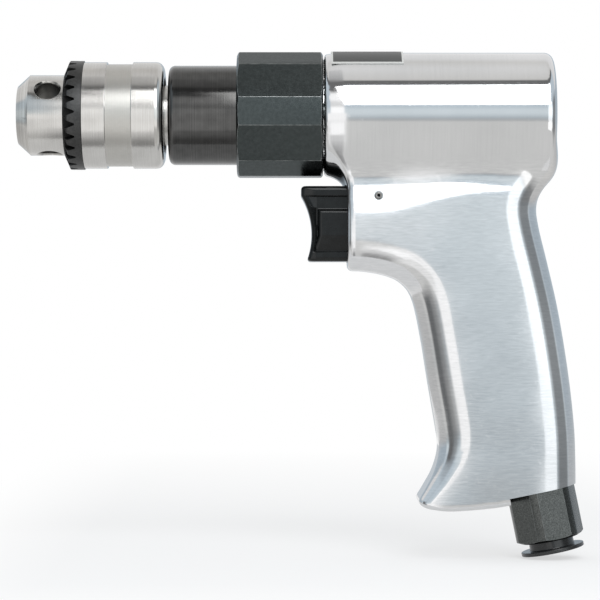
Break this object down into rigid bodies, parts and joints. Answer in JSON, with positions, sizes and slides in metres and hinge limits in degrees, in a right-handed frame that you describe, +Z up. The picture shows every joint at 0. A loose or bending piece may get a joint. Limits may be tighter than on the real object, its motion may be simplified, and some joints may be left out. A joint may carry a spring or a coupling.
{
  "type": "air drill",
  "caption": "Pistol-grip pneumatic drill with a keyed three-jaw chuck, hexagonal clamp nut, polished housing, sliding trigger and threaded air inlet with dust plug.",
  "frame": {"origin": "centre of the chuck's nose face, on the bit's centre line", "axes": "+X along the bit away from the tool, +Z up from the grip through the barrel, +Y to the left of someone holding the tool"},
  "size_m": [0.1883, 0.042, 0.1683],
  "materials": {
    "polished_aluminium": "polished",
    "plate_grey": "satin",
    "black_oxide": "semi-gloss",
    "satin_black_steel": "satin",
    "phosphate_steel": "matt",
    "ground_steel": "turned",
    "dark_steel": "satin",
    "spindle_steel": "turned",
    "gear_steel": "satin",
    "bearing_steel": "polished",
    "cast_iron": "machined",
    "bronze": "satin",
    "phenolic": "matt",
    "felt": "matt",
    "black_plastic": "gloss",
    "dark_plastic": "matt",
    "black_rubber": "matt"
  },
  "bodies": {
    "housing": {"housing": "polished_aluminium", "name_plate": "plate_grey", "gear_case": "black_oxide", "clamp_nut": "satin_black_steel", "ring_gear": "gear_steel", "spindle_seal": "felt", "spindle_bearing_outer": "bearing_steel", "retaining_ring": "dark_steel", "cylinder": "cast_iron", "cylinder_pin": "bearing_steel", "front_end_plate": "cast_iron", "rear_end_plate": "cast_iron", "motor_gasket": "felt", "rotor_front_bearing_outer": "bearing_steel", "rotor_rear_bearing_outer": "bearing_steel", "trigger_pin": "ground_steel", "valve_bush": "bronze", "trigger_spring": "bearing_steel", "valve_spring": "bearing_steel", "inlet_bush": "phosphate_steel", "inlet_o_ring": "black_rubber", "inlet_screen": "bronze", "exhaust_muffler": "felt", "exhaust_cap": "dark_plastic"},
    "spindle": {"spindle": "spindle_steel", "spindle_bearing_inner": "bearing_steel", "spindle_bearing_balls": "bearing_steel", "planet_pins": "spindle_steel", "carrier_plate": "spindle_steel", "chuck_body": "ground_steel", "chuck_screw": "dark_steel"},
    "rotor": {"rotor": "spindle_steel", "rotor_vanes": "phenolic", "rotor_front_bearing_inner": "bearing_steel", "rotor_front_bearing_balls": "bearing_steel", "rotor_rear_bearing_inner": "bearing_steel", "rotor_rear_bearing_balls": "bearing_steel"},
    "sleeve": {"chuck_sleeve": "ground_steel", "chuck_key_ring": "dark_steel", "chuck_split_nut": "dark_steel"},
    "trigger": {"trigger": "black_plastic", "valve_stem": "ground_steel", "valve_head": "black_rubber"},
    "plug": {"dust_plug": "black_plastic"},
    "planet_1": {"planet_gear_1": "gear_steel", "planet_bush_1": "bronze"},
    "jaw_1": {"chuck_jaw_1": "dark_steel"},
    "planet_2": {"planet_gear_2": "gear_steel", "planet_bush_2": "bronze"},
    "jaw_2": {"chuck_jaw_2": "dark_steel"},
    "planet_3": {"planet_gear_3": "gear_steel", "planet_bush_3": "bronze"},
    "jaw_3": {"chuck_jaw_3": "dark_steel"}
  },
  "joints": [
    {"name": "spindle_spin", "type": "hinge", "parent": "housing", "child": "spindle", "pos_m": [0, 0, 0], "axis": [1, 0, 0], "continuous": true},
    {"name": "rotor_spin", "type": "hinge", "parent": "housing", "child": "rotor", "pos_m": [-0.13, 0, 0], "axis": [1, 0, 0], "continuous": true},
    {"name": "sleeve_turn", "type": "hinge", "parent": "spindle", "child": "sleeve", "pos_m": [-0.03, 0, 0], "axis": [-1, 0, 0], "range_deg": [0, 3601]},
    {"name": "trigger_pull", "type": "slide", "parent": "housing", "child": "trigger", "axis": [-1, 0, 0], "range_m": [0, 0.006], "stiffness_N_per_m": 1200, "springref_m": -0.004, "deforming": ["trigger_spring", "valve_spring"]},
    {"name": "plug_pull", "type": "slide", "parent": "housing", "child": "plug", "axis": [-0.1996, 0, -0.9799], "range_m": [0, 0.09]},
    {"name": "planet_1_spin", "type": "hinge", "parent": "spindle", "child": "planet_1", "pos_m": [-0.086, 0.009, 0], "axis": [1, 0, 0], "continuous": true},
    {"name": "jaw_1_slide", "type": "slide", "parent": "spindle", "child": "jaw_1", "axis": [0.9659, 0.0315, -0.2569], "range_m": [0, 0.01584]},
    {"name": "planet_2_spin", "type": "hinge", "parent": "spindle", "child": "planet_2", "pos_m": [-0.086, -0.0045, 0.00779], "axis": [1, 0, 0], "continuous": true},
    {"name": "jaw_2_slide", "type": "slide", "parent": "spindle", "child": "jaw_2", "axis": [0.9659, 0.2067, 0.1558], "range_m": [0, 0.01585]},
    {"name": "planet_3_spin", "type": "hinge", "parent": "spindle", "child": "planet_3", "pos_m": [-0.086, -0.0045, -0.00779], "axis": [1, 0, 0], "continuous": true},
    {"name": "jaw_3_slide", "type": "slide", "parent": "spindle", "child": "jaw_3", "axis": [0.9659, -0.2382, 0.1011], "range_m": [0, 0.01585]}
  ],
  "couplings": [
    {"joint": "rotor_spin", "follows": "spindle_spin", "ratio": 6},
    {"joint": "planet_1_spin", "follows": "spindle_spin", "ratio": -2.5},
    {"joint": "sleeve_turn", "follows": "jaw_1_slide", "rad_per_m": 3966.4},
    {"joint": "planet_2_spin", "follows": "spindle_spin", "ratio": -2.5},
    {"joint": "jaw_2_slide", "follows": "jaw_1_slide", "ratio": 1},
    {"joint": "planet_3_spin", "follows": "spindle_spin", "ratio": -2.5},
    {"joint": "jaw_3_slide", "follows": "jaw_1_slide", "ratio": 1}
  ]
}
